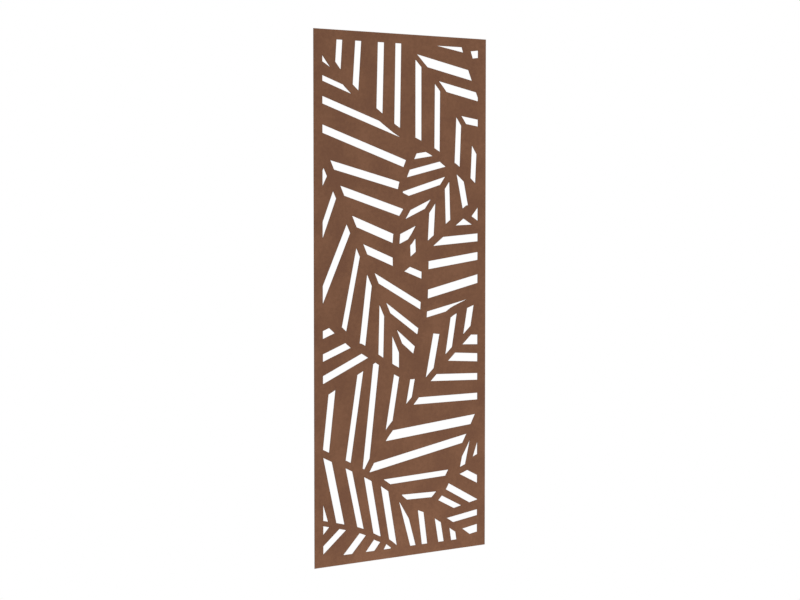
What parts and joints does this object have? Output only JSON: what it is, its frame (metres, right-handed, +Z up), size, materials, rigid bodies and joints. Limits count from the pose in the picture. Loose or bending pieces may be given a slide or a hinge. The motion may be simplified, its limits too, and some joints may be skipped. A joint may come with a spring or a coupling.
{
  "type": "acoustic room divider",
  "caption": "Thin hanging divider panel, felt on both faces of a stiff core and cut through with a leaf-vein fretwork, with folded hangers behind its top edge.",
  "frame": {"origin": "midway between the two hanging holes, on the top face of the hanger lips", "axes": "+Z up, along the panel's height; -Y out of the front face; +X to the right seen from the front"},
  "size_m": [0.8, 0.0272, 2],
  "materials": {
    "felt": "matte pressed felt, earth brown",
    "core": "matte powder coat in the felt's brown",
    "hanger_steel": "zinc plated, satin",
    "fastener_steel": "zinc plated, semi-bright"
  },
  "bodies": {
    "root": {"front_felt": "felt", "core_sheet": "core", "rear_felt": "felt", "hanger_bracket_left": "hanger_steel", "hanger_bracket_right": "hanger_steel", "clinch_studs": "fastener_steel", "flat_washers": "fastener_steel", "hex_nuts": "fastener_steel"}
  },
  "joints": []
}
